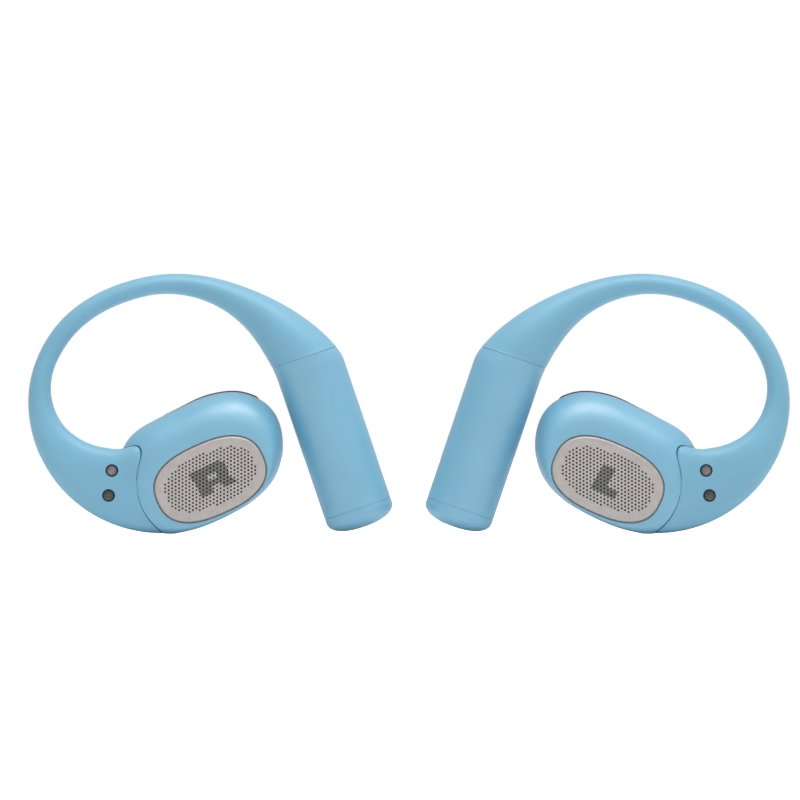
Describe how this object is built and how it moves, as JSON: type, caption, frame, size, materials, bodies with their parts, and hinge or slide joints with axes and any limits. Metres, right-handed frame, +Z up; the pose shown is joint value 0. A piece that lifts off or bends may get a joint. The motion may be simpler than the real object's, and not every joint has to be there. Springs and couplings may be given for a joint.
{
  "type": "open-ear earphones",
  "caption": "Pair of open-ear hook earphones: each has a swivelling speaker housing with a perforated grille, a flexible ear hook and a battery barrel.",
  "frame": {"origin": "on the surface the earpieces stand on, midway between the two earpieces and midway through their depth", "axes": "+Z up as worn, +X from the right earpiece to the left one, -Y towards the ear side with the grilles"},
  "size_m": [0.1142, 0.014, 0.039],
  "materials": {
    "shell": "satin soft-touch lacquer",
    "silicone": "matte silicone skin",
    "grille_metal": "fine matte warm grey lacquer",
    "vent_mesh": "fine black mesh",
    "contact_metal": "dark plated metal",
    "spring_steel": "bright steel",
    "magnet_steel": "nickel plated",
    "can_steel": "tinned can",
    "circuit_board": "green solder mask",
    "sensor_foil": "polyimide film",
    "black_plastic": "moulded",
    "cloth": "acoustic cloth",
    "diaphragm": "formed film",
    "seal_rubber": "moulded seal",
    "cell_can": "shrink-wrapped can"
  },
  "bodies": {
    "right_hook": {"right_hook_front_arm": "silicone", "right_contact_upper": "contact_metal", "right_contact_lower": "contact_metal", "right_contact_board": "circuit_board", "right_swivel_carrier": "spring_steel", "right_core_wire_front": "spring_steel"},
    "right_pod": {"right_pod_front_shell": "shell", "right_pod_rear_shell": "shell", "right_rear_vent_mesh": "vent_mesh", "right_grille_bezel": "grille_metal", "right_grille_mesh": "grille_metal", "right_dust_cloth": "cloth", "right_driver_frame": "black_plastic", "right_driver_diaphragm": "diaphragm", "right_driver_magnet": "magnet_steel", "right_main_board": "circuit_board", "right_microphone": "can_steel", "right_touch_sensor": "sensor_foil", "right_swivel_hub": "black_plastic", "right_detent_spring": "spring_steel", "right_retaining_ring": "spring_steel", "right_pivot_screw": "spring_steel"},
    "right_barrel": {"right_hook_rear_arm": "silicone", "right_core_wire_rear": "spring_steel", "right_barrel_seal": "seal_rubber", "right_battery_barrel": "shell", "right_battery_end_cap": "shell", "right_protection_board": "circuit_board", "right_battery_cell": "cell_can"},
    "left_hook": {"left_hook_front_arm": "silicone", "left_contact_upper": "contact_metal", "left_contact_lower": "contact_metal", "left_contact_board": "circuit_board", "left_swivel_carrier": "spring_steel", "left_core_wire_front": "spring_steel"},
    "left_pod": {"left_pod_front_shell": "shell", "left_pod_rear_shell": "shell", "left_rear_vent_mesh": "vent_mesh", "left_grille_bezel": "grille_metal", "left_grille_mesh": "grille_metal", "left_dust_cloth": "cloth", "left_driver_frame": "black_plastic", "left_driver_diaphragm": "diaphragm", "left_driver_magnet": "magnet_steel", "left_main_board": "circuit_board", "left_microphone": "can_steel", "left_touch_sensor": "sensor_foil", "left_swivel_hub": "black_plastic", "left_detent_spring": "spring_steel", "left_retaining_ring": "spring_steel", "left_pivot_screw": "spring_steel"},
    "left_barrel": {"left_hook_rear_arm": "silicone", "left_core_wire_rear": "spring_steel", "left_barrel_seal": "seal_rubber", "left_battery_barrel": "shell", "left_battery_end_cap": "shell", "left_protection_board": "circuit_board", "left_battery_cell": "cell_can"}
  },
  "joints": [
    {"name": "right_pod_swivel", "type": "hinge", "parent": "right_hook", "child": "right_pod", "pos_m": [-0.0315, 0, 0.00775], "axis": [0, 1, 0], "range_deg": [0, 22.5]},
    {"name": "right_hook_flex", "type": "hinge", "parent": "right_hook", "child": "right_barrel", "pos_m": [-0.04991, 0, 0.03211], "axis": [0, -1, 0], "range_deg": [0, 12], "stiffness_Nm_per_rad": 0.12},
    {"name": "left_pod_swivel", "type": "hinge", "parent": "left_hook", "child": "left_pod", "pos_m": [0.0315, 0, 0.00775], "axis": [0, -1, 0], "range_deg": [0, 22.5]},
    {"name": "left_hook_flex", "type": "hinge", "parent": "left_hook", "child": "left_barrel", "pos_m": [0.04991, 0, 0.03211], "axis": [0, 1, 0], "range_deg": [0, 12], "stiffness_Nm_per_rad": 0.12},
    {"name": "left_earpiece_lift", "type": "slide", "parent": "right_hook", "child": "left_hook", "axis": [0, 0, 1], "range_m": [0, 0.05]}
  ]
}
